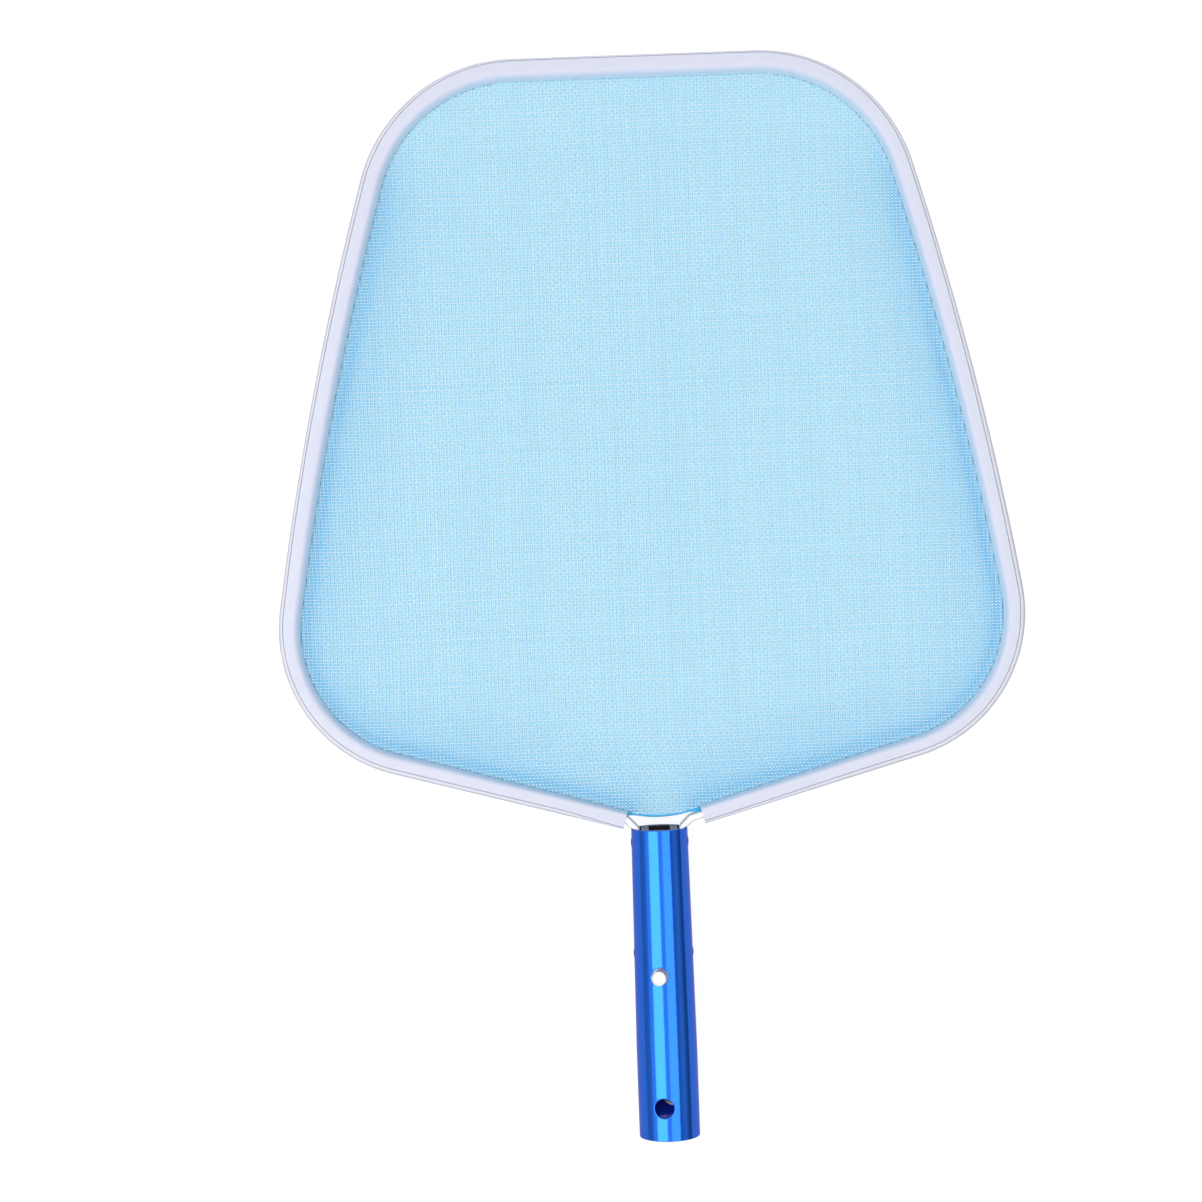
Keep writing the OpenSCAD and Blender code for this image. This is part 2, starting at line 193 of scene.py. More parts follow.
def sightRays(tree):
    # Rays in a gloss or through glass, and those together with the camera's own
    path = addNode(tree, "ShaderNodeLightPath")
    gloss = addNode(tree, "ShaderNodeMath", {
        0: path.outputs["Is Glossy Ray"], 1: path.outputs["Is Transmission Ray"]}, operation="MAXIMUM")
    straight = addNode(tree, "ShaderNodeMath", {
        0: path.outputs["Is Camera Ray"], 1: gloss}, operation="MAXIMUM")
    return gloss, straight


def objectAxes(tree):
    coords = addNode(tree, "ShaderNodeTexCoord")
    return addNode(tree, "ShaderNodeSeparateXYZ", {0: coords.outputs["Object"]}).outputs


half = floor["size"] / 2
floorCorners = ((-half, -half), (half, -half), (half, half), (-half, half))
floorObject = addObject("floor", [(x, y, floorHeight(y)) for x, y in floorCorners], faces=[(0, 1, 2, 3)])

floorPaper = bpy.data.materials.new("whitePaperSweep")   # seamless background paper, matt
tree = emptyTree(floorPaper)
gloss, straight = sightRays(tree)
axes = objectAxes(tree)
plain = addNode(tree, "ShaderNodeBsdfDiffuse", {"Color": linear(floor["paper"])})
# Straight views and gloss see the paper burnt out towards white, with the object's shadow on it
level = addNode(tree, "ShaderNodeMapRange", {
    "Value": gloss, "To Min": floor["burntOut"], "To Max": floor["inGloss"]})
offAxis = addNode(tree, "ShaderNodeMath", {0: axes["X"]}, operation="ABSOLUTE")
# A painted shadow: in a strip right below the tube the paper loses its burnt-out white and takes the dark
# colour; openPaper is 1 outside it
openPaper = 0.0
stripEdges = [(axes["Y"], end) for end in floor["stripEnds"]] + [(offAxis, floor["stripSides"])]
for value, (start, end) in stripEdges:
    clear = addNode(tree, "ShaderNodeMapRange", {
        "Value": value, "From Min": start * mm, "From Max": end * mm})
    openPaper = addNode(tree, "ShaderNodeMath", {0: clear, 1: openPaper}, operation="MAXIMUM")
shadow = addNode(tree, "ShaderNodeMix", {
    "Factor": openPaper, 6: linear(floor["dark"]), 7: linear(floor["shadowed"])}, data_type="RGBA")
matt = addNode(tree, "ShaderNodeBsdfDiffuse", {"Color": shadow.outputs[2]})
levelHere = addNode(tree, "ShaderNodeMath", {0: level, 1: openPaper}, operation="MULTIPLY")
lit = addNode(tree, "ShaderNodeEmission", {"Color": linear("ffffff"), "Strength": levelHere})
seen = addNode(tree, "ShaderNodeAddShader", {0: matt, 1: lit})
mixed = addNode(tree, "ShaderNodeMixShader", {0: straight, 1: plain, 2: seen})
addNode(tree, "ShaderNodeOutputMaterial", {0: mixed})
floorObject.data.materials.append(floorPaper)

studio = {"room": "e9edf2", "strength": 0.745}           # the pale room that lights the object
world = bpy.data.worlds.new("studio")
bpy.context.scene.world = world
tree = emptyTree(world)
straight = sightRays(tree)[1]
room = addNode(tree, "ShaderNodeBackground", {
    "Color": linear(studio["room"]), "Strength": studio["strength"]})
white = addNode(tree, "ShaderNodeBackground", {"Color": linear("ffffff"), "Strength": 1.0})
mixed = addNode(tree, "ShaderNodeMixShader", {0: straight, 1: room, 2: white})
addNode(tree, "ShaderNodeOutputWorld", {0: mixed})

# Softboxes beside the lens, in m, with angles of the direction from the object: right, then along the net
softboxes = {
    "leftBox": {"lean": -28, "along": -8, "reach": 1.75, "width": 1.2, "length": 1.35, "radiance": 2.45},
    "rightBox": {"lean": 23.5, "along": -8, "reach": 1.75, "width": 1.0, "length": 1.8, "radiance": 1.08},
}
aim = Vector((0, 0.25, 0))
for name, box in softboxes.items():
    lamp = bpy.data.lights.new(name, "AREA")
    lamp.shape = "RECTANGLE"
    lamp.size, lamp.size_y = box["width"], box["length"]
    lamp.energy = box["radiance"] * math.pi * box["width"] * box["length"]
    lampObject = show(name, lamp)
    lean, along = math.radians(box["lean"]), math.radians(box["along"])
    away = Vector((math.sin(lean), math.cos(lean) * math.sin(along), math.cos(lean) * math.cos(along)))
    side = Vector((math.cos(lean), 0, -math.sin(lean)))
    turned = Matrix((side, away.cross(side), away)).transposed().to_4x4()
    lampObject.matrix_world = Matrix.Translation(aim + away * box["reach"]) @ turned
    lampObject.visible_camera = False

# Grey cards low on both sides, which draw the dark lines along the tube. Greys are from the ground up
cards = {
    "leftCard": {"x": -1450, "top": 707, "half": 1500, "below": 10, "greys": (
        (0.0, 0.45), (0.6, 0.5), (1.0, 0.6))},
    "rightCard": {"x": 1450, "top": 1730, "half": 1500, "below": 10, "greys": (
        (0.0, 0.18), (0.09, 0.2), (0.24, 0.37), (0.39, 0.62), (0.58, 0.58), (0.78, 0.38), (1.0, 0.4))},
}
for name, card in cards.items():
    x, reach, bottom = card["x"], card["half"], floorHeight(0) - card["below"]
    cardObject = addObject(name, [
        (x, -reach, bottom), (x, reach, bottom), (x, reach, card["top"]), (x, -reach, card["top"])],
        faces=[(0, 1, 2, 3)])
    grey = bpy.data.materials.new(name + "Paint")        # grey card, evenly lit by the studio
    tree = emptyTree(grey)
    height = addNode(tree, "ShaderNodeMapRange", {
        "Value": objectAxes(tree)["Z"], "From Max": card["top"] * mm})
    ramp = addNode(tree, "ShaderNodeValToRGB", {0: height})
    fillRamp(ramp, [(share, (level, level, level, 1)) for share, level in card["greys"]])
    glow = addNode(tree, "ShaderNodeEmission", {"Color": ramp, "Strength": 1.0})
    addNode(tree, "ShaderNodeOutputMaterial", {0: glow})
    grey.cycles.emission_sampling = "NONE"
    cardObject.data.materials.append(grey)
    cardObject.visible_camera = False
    cardObject.visible_shadow = False
print("camera, floor and light are set")

rim = {
    "width": 348, "length": 359,         # over the trim, and from the tube's mouth
    "legLength": 62, "bendDrop": 1.8, "neckBend": 6.5,
    "barBend": 2.0, "barLean": 45,       # the bar is bent twice there, tightly, and runs straight between
    "slope": 15.5, "lowerCorner": 65, "leanLow": 9.2, "leanHigh": 16.5, "upperCorner": 70,
    "barThick": 3.2, "barDeep": 8, "barRound": 1.1, "seat": 12.3,
    "startRight": 5.2, "startLeft": 0.2,
    "edge": 4.55,                        # outer side of the bumper, beside the bar's centre line
    "turnStep": 2.0,                     # degrees per station on tight bends
    "lengthStep": 3.0,                   # mm per station on long ones
}
tube = {
    "length": 145, "spigot": 42, "spigotRadius": 14.25, "neckRadius": 13.2, "wall": 0.8,
    "holeTurn": 10,                      # degrees about the tube's axis
    "holes": ((15.5, 4.6, 5.8), (77.2, 3.9, 5.2)),   # place, radius and half of the patch around it
    "columns": 144, "patch": 9, "patchRing": 0.65, "rowStep": 6, "mouthRows": 10,
    "lipRound": 0.25, "lipMiddle": 0.07, "holeRound": 0.34, "boreRound": 0.14,
    "hold": 0.2,                         # a loop this far from each rounded edge keeps the gleam straight
}


def toward(degrees):
    return Vector((math.cos(math.radians(degrees)), math.sin(math.radians(degrees))))


def arc(centre, radius, start, end):
    # Stations along a bend: a point and the angle of the outward normal there
    byTurn = abs(end - start) / rim["turnStep"]
    byLength = abs(radius) * math.radians(abs(end - start)) / rim["lengthStep"]
    steps = math.ceil(max(min(byTurn, byLength * 3), byLength))
    angles = [start + (end - start) * i / steps for i in range(steps + 1)]
    return [(centre + radius * toward(a), a) for a in angles]


def straightRun(start, end, normal):
    steps = math.ceil((end - start).length / rim["lengthStep"])
    return [(start.lerp(end, i / steps), normal) for i in range(steps + 1)]


def joined(first, *others):
    # Runs end to end, each starting where the one before ends
    return first + [station for run in others for station in run[1:]]


slopeNormal = rim["slope"] - 90
legX = rim["seat"] - rim["barThick"] / 2
legFoot = tube["length"] - rim["legLength"]
bendCentre = Vector((legX + rim["neckBend"], tube["length"] - rim["bendDrop"]))
lowerStart = bendCentre - rim["neckBend"] * toward(slopeNormal)
slopeAngle = math.radians(rim["slope"])
lowTurn, highTurn = math.radians(rim["leanLow"]), math.radians(rim["leanHigh"])
lowerCentreX = rim["width"] / 2 - rim["edge"] - rim["lowerCorner"]
lowerRun = (lowerCentreX + rim["lowerCorner"] * math.sin(slopeAngle) - lowerStart.x) / math.cos(slopeAngle)
lowerEnd = lowerStart + lowerRun * toward(rim["slope"])
lowerCentre = lowerEnd - rim["lowerCorner"] * toward(slopeNormal)
topY = tube["length"] + rim["length"] - rim["edge"]
sideRise = (topY - rim["upperCorner"] * (1 - math.sin(highTurn))
            - lowerCentre.y - rim["lowerCorner"] * math.sin(lowTurn))
sideRadius = sideRise / (math.sin(highTurn) - math.sin(lowTurn))
sideCentre = lowerCentre + (rim["lowerCorner"] - sideRadius) * toward(rim["leanLow"])
upperCentre = sideCentre + (sideRadius - rim["upperCorner"]) * toward(rim["leanHigh"])
neckArcRadius = lowerStart.x / math.sin(slopeAngle)
neckArcCentre = lowerStart - neckArcRadius * toward(slopeNormal)

leanNormal = rim["barLean"] - 90
upperBend = lowerStart + rim["barBend"] * toward(slopeNormal)
leanEnd = upperBend - rim["barBend"] * toward(leanNormal)
leanX = legX + rim["barBend"] * (1 - math.cos(math.radians(leanNormal)))
leanStart = leanEnd - (leanEnd.x - leanX) / math.cos(math.radians(rim["barLean"])) * toward(rim["barLean"])
lowerBend = leanStart + rim["barBend"] * toward(leanNormal)

corners = joined(
    arc(lowerCentre, rim["lowerCorner"], slopeNormal, rim["leanLow"]),
    arc(sideCentre, sideRadius, rim["leanLow"], rim["leanHigh"]),
    arc(upperCentre, rim["upperCorner"], rim["leanHigh"], 90))
slope = straightRun(lowerStart, lowerEnd, slopeNormal)
barHalf = joined(
    straightRun(Vector((legX, legFoot)), Vector((legX, lowerBend.y)), 0),
    arc(lowerBend, -rim["barBend"], 0, leanNormal),
    straightRun(leanStart, leanEnd, leanNormal),
    arc(upperBend, -rim["barBend"], leanNormal, slopeNormal), slope, corners)
edgeHalf = joined(arc(neckArcCentre, neckArcRadius, -90, slopeNormal), slope, corners)


def mirrored(stations):
    return [(Vector((-p.x, p.y)), 180 - a) for p, a in reversed(stations)]


def bothSides(right, left):
    # The two halves meet in the middle of the straight top
    topRight, topLeft = right[-1], mirrored(left)[0]
    return right + straightRun(topRight[0], topLeft[0], 90)[1:-1] + mirrored(left)


def trimHalf(start):
    return joined(straightRun(lowerStart + start * toward(rim["slope"]), lowerEnd, slopeNormal), corners)


trimStations = bothSides(trimHalf(rim["startRight"]), trimHalf(rim["startLeft"]))
barStations = bothSides(barHalf, barHalf)
edgeStations = bothSides(edgeHalf, edgeHalf)[:-1]


def beside(stations, offset):
    return [p + offset * toward(a) for p, a in stations]


def lengths(points):
    run = [0.0]
    for a, b in zip(points, points[1:]):
        run.append(run[-1] + (b - a).length)
    return run


def ease(value):
    value = min(1.0, max(0.0, value))
    return value * value * (3 - 2 * value)


def valueAt(table, share):
    for (a, low), (b, high) in zip(table, table[1:]):
        if share <= b:
            return low + (high - low) * ease((share - a) / (b - a))
    return table[-1][1]


def carried(tree, **kinds):
    # What the points of a geometry tree carry under these names
    return [addNode(tree, "GeometryNodeInputNamedAttribute", {"Name": name}, data_type=kind)
            for name, kind in kinds.items()]


# Carries a section along a path. "outward" times "shift" and "share" moves parts of the section
sweepTree, given = newTree("sweepSection", {
    "Section": "Object", "Close Ends": "Bool", "Material": "Material"})
pathCurve = addNode(sweepTree, "GeometryNodeMeshToCurve", {0: given["Geometry"]})
upright = addNode(sweepTree, "GeometryNodeSetCurveNormal", {0: pathCurve}, mode="Z_UP")
section = addNode(sweepTree, "GeometryNodeObjectInfo", {"Object": given["Section"]})
sectionCurve = addNode(sweepTree, "GeometryNodeMeshToCurve", {0: section.outputs["Geometry"]})
skin = addNode(sweepTree, "GeometryNodeCurveToMesh", {
    "Curve": upright, "Profile Curve": sectionCurve, "Fill Caps": given["Close Ends"]})
outward, shift, share = carried(sweepTree, outward="FLOAT_VECTOR", shift="FLOAT", share="FLOAT")
amount = addNode(sweepTree, "ShaderNodeMath", {0: shift, 1: share}, operation="MULTIPLY")
move = addNode(sweepTree, "ShaderNodeVectorMath", {0: outward, "Scale": amount}, operation="SCALE")
moved = addNode(sweepTree, "GeometryNodeSetPosition", {0: skin, "Offset": move})
closeTree(sweepTree, moved, given["Material"])


def sweep(name, stations, section, material, closed=False, shifts=None):
    # A section point is outward, up and its share of the shift. "along" and "across" stay for the finish
    run = lengths([p for p, a in stations])
    piece = addPolyline(name, [(p.x, p.y, 0) for p, a in stations], closed, {
        "along": [r * mm for r in run], "shift": [s * mm for s in shifts or [0] * len(stations)],
        "outward": [(*toward(a), 0) for p, a in stations]})
    outline = addPolyline(name + "Section", [(v, -z, 0) for v, z, s in section], True, {
        "across": [v * mm for v, z, s in section], "share": [s for v, z, s in section]})
    settle(piece, sweepTree, {"Section": outline, "Close Ends": not closed, "Material": material})
    bpy.data.objects.remove(outline)
    faceOutward(piece)
    return piece


def newFinish(name, colour, **sockets):
    finish = bpy.data.materials.new(name)
    finish.use_nodes = True
    labelled = {key.replace("_", " "): value for key, value in sockets.items()}
    feed(finish.node_tree.nodes["Principled BSDF"], {"Base Color": linear(colour), **labelled})
    return finish


def build(finish):
    return finish.node_tree, finish.node_tree.nodes["Principled BSDF"]


def soFar(socket):
    # What feeds the socket so far, a link or a value
    return socket.links[0].from_socket if socket.is_linked else socket.default_value


def layOver(finish, factor, colour):
    # Lays a colour over the base colour so far, by a factor or by the attribute of that name
    tree, shader = build(finish)
    if isinstance(factor, str):
        factor = addNode(tree, "ShaderNodeAttribute", attribute_name=factor).outputs["Fac"]
    mixed = addNode(tree, "ShaderNodeMix", {
        "Factor": factor, 6: soFar(shader.inputs["Base Color"]), 7: linear(colour)}, data_type="RGBA")
    feed(shader, {"Base Color": mixed.outputs[2]})


noiseSpan = (0.3, 0.7)                       # a noise seldom leaves this span


def grained(finish, scale, detail, colour=None, spread=(0.0, 1.0), most=1.0, rough=None, relief=None,
            vector=None):
    # One noise in the object's metres lays a colour over, sets the roughness and raises a relief in mm
    tree, shader = build(finish)
    vector = vector or addNode(tree, "ShaderNodeTexCoord").outputs["Object"]
    stretched = addNode(tree, "ShaderNodeMapping", {
        "Vector": vector, "Scale": scale if isinstance(scale, tuple) else (scale, scale, scale)})
    grain = addNode(tree, "ShaderNodeTexNoise", {"Vector": stretched, "Scale": 1.0, "Detail": detail})
    if colour:
        layOver(finish, addNode(tree, "ShaderNodeMapRange", {
            "Value": grain, "From Min": spread[0], "From Max": spread[1], "To Max": most}), colour)
    if rough:
        feed(shader, {"Roughness": addNode(tree, "ShaderNodeMapRange", {
            "Value": grain, "From Min": noiseSpan[0], "From Max": noiseSpan[1],
            "To Min": rough[0], "To Max": rough[1]})})
    if relief:
        feed(shader, {"Normal": addNode(tree, "ShaderNodeBump", {
            "Height": grain, "Distance": relief[0] * mm, "Strength": relief[1],
            "Normal": soFar(shader.inputs["Normal"])})})


# Anodised aluminium: dyed oxide over bright drawn metal, so a clear white gleam over a blue one
anodised = newFinish(
    "anodisedAluminium", "0467e8", Metallic=1.0, Coat_Weight=0.6, Coat_Roughness=0.05, Coat_IOR=1.5,
    Specular_Tint=linear("8ea8e6"))
grained(anodised, 28, 2.0, "0872f0")  # dye clouds about 35 mm across
layOver(anodised, "bore", "0b2088")  # painted shade: the bore is painted a dark navy for the shade inside the tube
layOver(anodised, "cut", "b9aca6")  # the drilled edges show bare metal
# The draw bench leaves long soft ripples, and lines 0.45 mm apart, which is coarser than real
grained(anodised, (90, 22, 90), 1.0, relief=(0.08, 1.0))
grained(anodised, (2200, 12, 2200), 3.0, rough=(0.11, 0.17), relief=(0.002, 0.35))
tree, shader = build(anodised)
bore = addNode(tree, "ShaderNodeAttribute", attribute_name="bore").outputs["Fac"]
dull = addNode(tree, "ShaderNodeMath", {
    0: bore, 1: 0.3, 2: soFar(shader.inputs["Roughness"])}, operation="MULTIPLY_ADD")
feed(shader, {"Roughness": dull})  # the bore was never polished

# Mill aluminium: extruded flat bar, bright and satin with faint lines along its length
millBar = newFinish("millAluminium", "e4e7eb", Metallic=1.0)
tree = millBar.node_tree
along, across = [addNode(tree, "ShaderNodeAttribute", attribute_name=name).outputs["Fac"]
                 for name in ("along", "across")]
laid = addNode(tree, "ShaderNodeCombineXYZ", {"X": along, "Y": across, "Z": objectAxes(tree)["Z"]})
grained(millBar, (18, 1500, 1500), 3.0, "f3f4f6",
        rough=(0.32, 0.44), relief=(0.003, 0.3), vector=laid.outputs[0])

# Plasticised PVC: soft extruded trim, satin and slightly clear, the blue cloth showing through its thin lip.
# Across the flank the colour is painted shade, greyer and darker towards the lip, and painted light, lighter
# again at the lip's edge
trimPvc = newFinish(
    "softPvcChannel", "dfe1f1", Specular_IOR_Level=0.4, Subsurface_Weight=0.35,
    Subsurface_Radius=(1.0, 0.95, 0.9), Subsurface_Scale=0.004)
tree, shader = build(trimPvc)
across = addNode(tree, "ShaderNodeAttribute", attribute_name="across").outputs["Fac"]
lipSpan = (-1.9, -5.65)                      # mm across, from the flank to the edge of the thin lip
depth = addNode(tree, "ShaderNodeMapRange", {
    "Value": across, "From Min": lipSpan[0] * mm, "From Max": lipSpan[1] * mm})
ramp = addNode(tree, "ShaderNodeValToRGB", {0: depth})
# Painted shade down the flank towards the lip, and painted light at the lip's edge
fillRamp(ramp, [(place, linear(colour)) for place, colour in (
    (0.0, "dfe1f1"), (0.3, "d8dbed"), (0.6, "c9d7ec"), (0.85, "c3daf2"), (1.0, "e2f4ff"))])
feed(shader, {"Base Color": ramp})
grained(trimPvc, 50, 3.0, "d3d2e4", (0.35, 0.65), 0.14)  # clouds 20 mm across
grained(trimPvc, 160, 4.0, rough=(0.33, 0.44), relief=(0.06, 0.6))  # extrusion orange peel, 6 mm and finer

# Plasticised PVC again, for the glued-on bumper: painted greyer towards its nose, painted shade where it
# turns away
bumperPvc = newFinish("softPvcBumper", "dadae6", Roughness=0.42, Specular_IOR_Level=0.3)
grained(bumperPvc, 120, 4.0, "e8e8f0", relief=(0.05, 0.5))  # scuffs 8 mm long and finer
tree = bumperPvc.node_tree
across = addNode(tree, "ShaderNodeAttribute", attribute_name="across").outputs["Fac"]
noseSpan = (3.5, 4.5)                        # mm across, over the nose, where the painted shade lies
nose = addNode(tree, "ShaderNodeMapRange", {
    "Value": across, "From Min": noseSpan[0] * mm, "From Max": noseSpan[1] * mm})
# painted shade on the bumper's nose
layOver(bumperPvc, nose, "bfbfcc")

# Polyester monofilament: stiff light blue thread, glossy, with painted shade where it would dip under its
# neighbour
netThread = newFinish("polyesterMonofilament", "b3eaff", Roughness=0.4, Specular_IOR_Level=0.4)
tree, shader = build(netThread)
layOver(netThread, "tone", "c0f1ff")
crossing = addNode(tree, "ShaderNodeAttribute", attribute_name="crossing").outputs["Fac"]
halfTurns = addNode(tree, "ShaderNodeMath", {0: crossing, 1: math.pi}, operation="MULTIPLY")
wave = addNode(tree, "ShaderNodeMath", {0: halfTurns}, operation="COSINE")
under = addNode(tree, "ShaderNodeMapRange", {"Value": wave, "From Min": 1.0, "From Max": -1.0})
# painted shade at the crossings where the thread passes under
layOver(netThread, under, "aee0fb")
# painted shade: a deeper blue on the net near the trim
layOver(netThread, "paintedRimShade", "52b4e6")
feed(shader, {"Normal": addNode(tree, "ShaderNodeBump", {
    "Height": wave, "Distance": 0.05 * mm, "Strength": 0.6})})

# Polyester binding tape: close woven, darker blue, with a soft sheen
hemTape = newFinish("polyesterBindingTape", "1ea5e8", Roughness=0.65, Sheen_Weight=0.15)
grained(hemTape, 2500, 2.0, "48c6fa", (0.3, 0.7), relief=(0.1, 0.5))  # yarns 0.4 mm apart

# Sewing thread: spun polyester, matt, twisted from fine strands
sewingThread = newFinish("spunPolyesterThread", "4fb4e8", Roughness=0.75, Sheen_Weight=0.2)
grained(sewingThread, 4000, 1.0, "7fd2f8")

# Die-cast zinc: dull grey with a fine sandy skin, painted near black in the cored slot for the shade there
castPlug = newFinish("dieCastZinc", "697681", Metallic=0.6)
grained(castPlug, 1400, 5.0, "93a0ab", (0.35, 0.65), rough=(0.45, 0.65), relief=(0.05, 0.6))  # grain 0.7 mm
# painted shade: the slot's walls are painted near black
layOver(castPlug, "paintedSlotShade", "17151b")

# Lacquered aluminium: blind rivet heads, the tube's blue with bare wear on the edge
rivetBlue = newFinish("lacqueredAluminium", "175fc4", Roughness=0.3, Metallic=0.9)
grained(rivetBlue, 900, 4.0, "8b93a8", (0.56, 0.66))  # chips about 1 mm across

# Rolled stainless spring steel: grey, fine rolling lines along the strip, 0.2 mm apart
springSteel = newFinish("springSteel", "969a9f", Metallic=1.0)
grained(springSteel, (5000, 60, 5000), 3.0, "b4b8bc", rough=(0.22, 0.4), relief=(0.004, 0.4))

# Nickel plate on turned brass: satin, pale and slightly warm
nickelPlate = newFinish("satinNickelPlate", "ebe9e5", Metallic=0.85)
grained(nickelPlate, 800, 4.0, "fbfaf8", rough=(0.38, 0.52))  # lathe chatter about 1 mm
print("finishes are made:", len(bpy.data.materials))


trim = {
    "back": 2.55, "top": 5.6, "bevel": 0.4, "flankStart": -2.0, "flankWidth": 3.65,
    # Points of the crown: outward, below the top, and the share of the shift
    "crown": ((1.2, 0.03, 0.6), (0.2, 0.0, 0.25), (-0.9, 0.01, 0.0)),
    "lipHeight": 0.75, "lipRound": (0.06, 0.15), "lipStart": 0.9,
    "mouth": 0.5, "pocket": 1.3, "pocketEnd": -3.9, "cavity": 1.75, "cavityTop": 4.15,
    "glue": 0.2, "bumperHigh": 5.0, "bumperRound": 0.4, "creaseDeep": 1.8, "creaseFoot": 0.3,
    "nose": 1.3, "noseFullness": 0.8, "noseShare": 0.75,
    # Width of the bumper strip in view, at shares of the way round from the right end
    "stripWidths": ((0.0, 1.6), (0.08, 2.6), (0.2, 2.6), (0.36, 2.0), (0.46, 1.1), (0.53, 1.1),
                    (0.62, 2.2), (0.76, 1.8), (0.88, 2.5), (0.97, 2.3), (1.0, 1.0)),
    # How far the net's lip draws back near the neck, where the channel is bent open
    "drawnBack": ((0.0, 1.5), (0.03, 1.2), (0.09, 0.8), (0.2, 0.0), (0.8, 0.0), (0.91, 0.7),
                  (0.97, 1.2), (1.0, 1.6)),
}
trimRun = lengths([p for p, a in trimStations])
nominal = rim["edge"] - trim["back"] - trim["glue"]
creaseShift = [nominal - valueAt(trim["stripWidths"], r / trimRun[-1]) for r in trimRun]
lipEdge = trim["flankStart"] - trim["flankWidth"]


def channelSection():
    # From the back over the flank to the cavity, and the same below
    t = trim
    half = [(t["back"], 0.0, 1.0), (t["back"], t["top"] - t["creaseDeep"], 1.0)]
    half += [(t["back"] - t["bevel"] * (1 - c), t["top"] - t["bevel"] * (1 - s), 1.0)
             for c, s in map(toward, range(0, 91, 15))]
    half += [(v, t["top"] - drop, share) for v, drop, share in t["crown"]]
    half += [(t["flankStart"] - t["flankWidth"] * s, t["lipHeight"] + (t["top"] - t["lipHeight"]) * c, 0.0)
             for c, s in map(toward, range(0, 91, 9))]
    inner, foot = t["lipRound"]
    half += [(v, z, 0.0) for v, z in (
        (lipEdge + inner, t["mouth"] + inner), (lipEdge + foot, t["mouth"]), (t["pocketEnd"], t["mouth"]),
        (t["pocketEnd"], t["pocket"]), (-t["cavity"], t["pocket"]), (-t["cavity"], t["cavityTop"]),
        (t["cavity"], t["cavityTop"]))]
    return half + [(v, -z, share) for v, z, share in reversed(half[1:])]


edgeChannel = sweep("edgeChannel", trimStations, channelSection(), trimPvc, shifts=creaseShift)
data = edgeChannel.data.attributes
lipLine = []
for vertex, along, across, outward in zip(
        edgeChannel.data.vertices, data["along"].data, data["across"].data, data["outward"].data):
    depth = (trim["flankStart"] - across.value / mm) / trim["flankWidth"]
    onFlank = abs(vertex.co.z) > trim["lipHeight"] * 0.99 * mm or depth > trim["lipStart"]
    if depth > 0 and onFlank:
        back = valueAt(trim["drawnBack"], along.value / mm / trimRun[-1]) * depth
        vertex.co += outward.vector * back * mm
    if vertex.co.z > 0 and across.value < (lipEdge + 0.01) * mm:
        lipLine.append((along.value, vertex.co.x / mm, vertex.co.y / mm))
fit(edgeChannel, "edge_channel", 50)


def bumperSection():
    t = trim
    foot, root = t["back"] + t["glue"], rim["edge"] - t["nose"]
    high, bend = t["bumperHigh"], t["bumperRound"]
    half = [(foot, high - t["creaseDeep"] + t["creaseFoot"], 1.0), (foot, high - bend, 1.0)]
    half += [(foot + bend * (1 - c), high - bend * (1 - s), 1.0) for c, s in map(toward, range(15, 91, 15))]
    half += [(root + t["nose"] * c, high * s ** t["noseFullness"], t["noseShare"] * (1 - c))
             for c, s in map(toward, range(80, -1, -10))]
    return half + [(v, -z, share) for v, z, share in reversed(half[:-1])]


bumperStrip = sweep("bumperStrip", trimStations, bumperSection(), bumperPvc, shifts=creaseShift)
fit(bumperStrip, "bumper_strip", 50)
print("trim is swept:", len(edgeChannel.data.polygons) + len(bumperStrip.data.polygons), "faces")


def roundedBar(width, height, radius, steps=3):
    points, x, y = [], width / 2 - radius, height / 2 - radius
    for sx, sy, start in ((1, 1, 0), (-1, 1, 90), (-1, -1, 180), (1, -1, 270)):
        for c, s in (toward(start + 90 * i / steps) for i in range(steps + 1)):
            points.append((sx * x + radius * c, sy * y + radius * s, 0))
    return points


flatBar = sweep("flatBar", barStations, roundedBar(rim["barThick"], rim["barDeep"], rim["barRound"]), millBar)
for vertex in flatBar.data.vertices:        # the legs are pressed round where they seat in the tube
    x, y, z = vertex.co / mm
    ring = math.hypot(x, z)
    if y < tube["length"] and ring > rim["seat"]:
        vertex.co.x *= rim["seat"] / ring
        vertex.co.z *= rim["seat"] / ring
fit(flatBar, "frame_bar", 40)

net = {
    "warpPitch": 1.70, "weftPitch": 1.47,    # mm between threads; woven at 1.39 and 1.20, too fine to draw
    "threadWidth": 1.0, "threadThick": 0.3,
    "lift": 0.09,                            # warp above weft, half their distance
    "sag": 7.0, "sagShape": 1.25, "edge": -3.56, "lip": -5.65, "rows": 400,
    "shortest": 4, "segments": 13, "ends": (0.0, 2.5, 4.0, 5.5, 8.0, 12.0), "seed": 4,
    "drift": 0.9, "driftSize": 70,           # how far the hand-stretched weave wanders, and over what length
    "uneven": 0.05,                          # spread of the threads about their pitch
    "gripped": 1, "loose": 16,               # mm from the rim where a thread comes loose, and over which
    "lean": 4.5, "leanFrom": 181, "leanRun": 19,   # the warp is pulled aside close to the neck
    # Share of the deeper blue, painted shade, at distances from the trim's lip, where the net dips under it
    "paintedRimShadeTable": ((0.4, 0.35), (1.9, 0.6), (3.4, 0.7), (5.9, 0.46), (9.9, 0.29), (14.0, 0.2), (22.0, 0.1),
                  (50.0, 0.0)),
    "shadeFrom": 430, "shadeRun": 45,        # the painted shade fades out towards the top
}
netOutline = beside(edgeStations, net["edge"])
lipOutline = beside(edgeStations, net["lip"])


